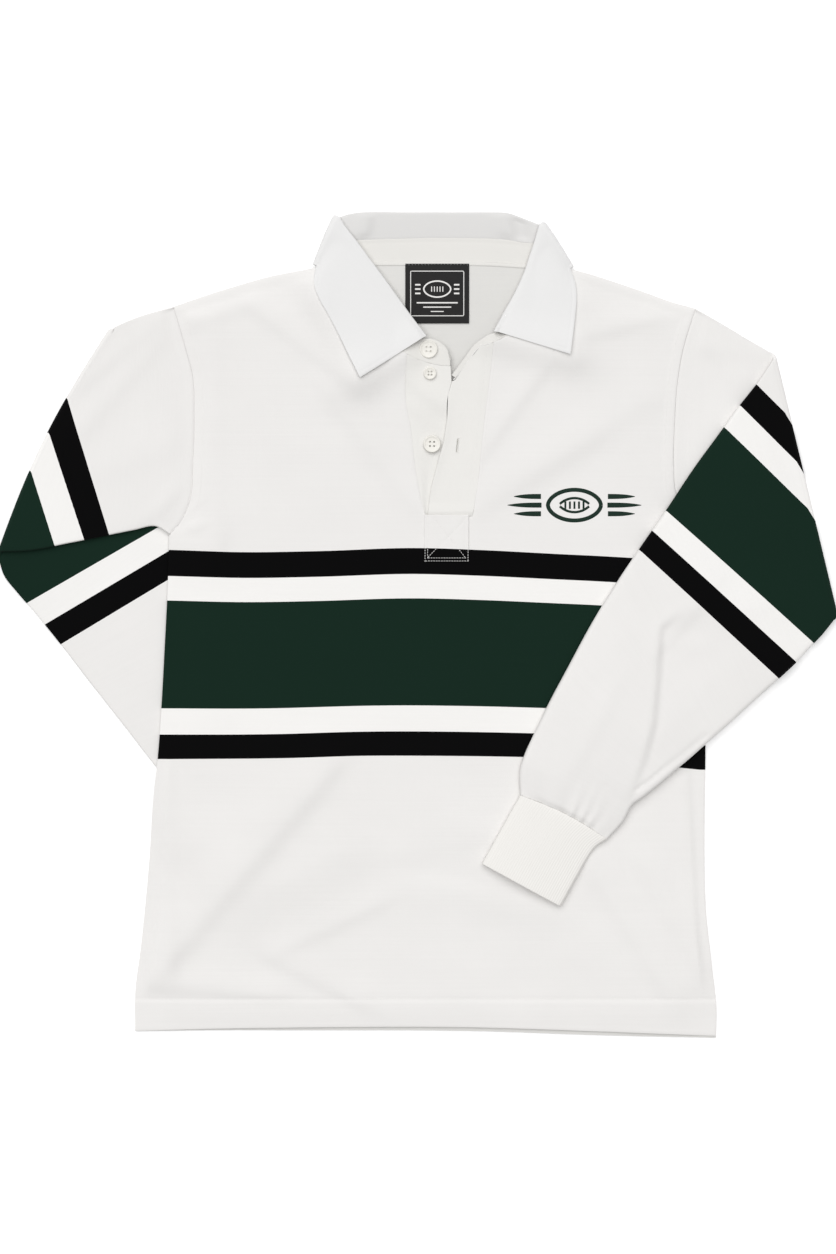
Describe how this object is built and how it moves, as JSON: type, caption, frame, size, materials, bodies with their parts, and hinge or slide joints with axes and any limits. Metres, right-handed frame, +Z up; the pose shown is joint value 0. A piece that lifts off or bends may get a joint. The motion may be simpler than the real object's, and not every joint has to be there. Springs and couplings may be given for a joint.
{
  "type": "rugby shirt",
  "caption": "Long-sleeved rugby shirt lying flat, one forearm folded over the front and the other folded beneath, with an open turned-down collar, a part placket and ribbed cuffs.",
  "frame": {"origin": "middle of the laid shirt's bounding box, on the surface that it lies on", "axes": "+X to the right across the laid shirt as seen from above, +Y from hem to collar, +Z up off the surface; the front faces +Z"},
  "size_m": [0.7774, 0.765, 0.0133],
  "materials": {
    "jersey": "matte heavy cotton jersey",
    "collar_cloth": "matte cotton twill",
    "rib": "matte fine rib knit",
    "label": "woven black label",
    "button": "off-white, lightly polished"
  },
  "bodies": {
    "root": {"body_back": "jersey", "body_front": "jersey", "sleeve_over": "jersey", "sleeve_under": "jersey", "cuff_over": "rib", "cuff_under": "rib", "collar_stand": "collar_cloth", "collar_leaf": "collar_cloth", "placket_under": "collar_cloth", "placket_upper": "collar_cloth", "neck_label": "label", "button_stand": "button", "button_small": "button", "button_front": "button"}
  },
  "joints": []
}
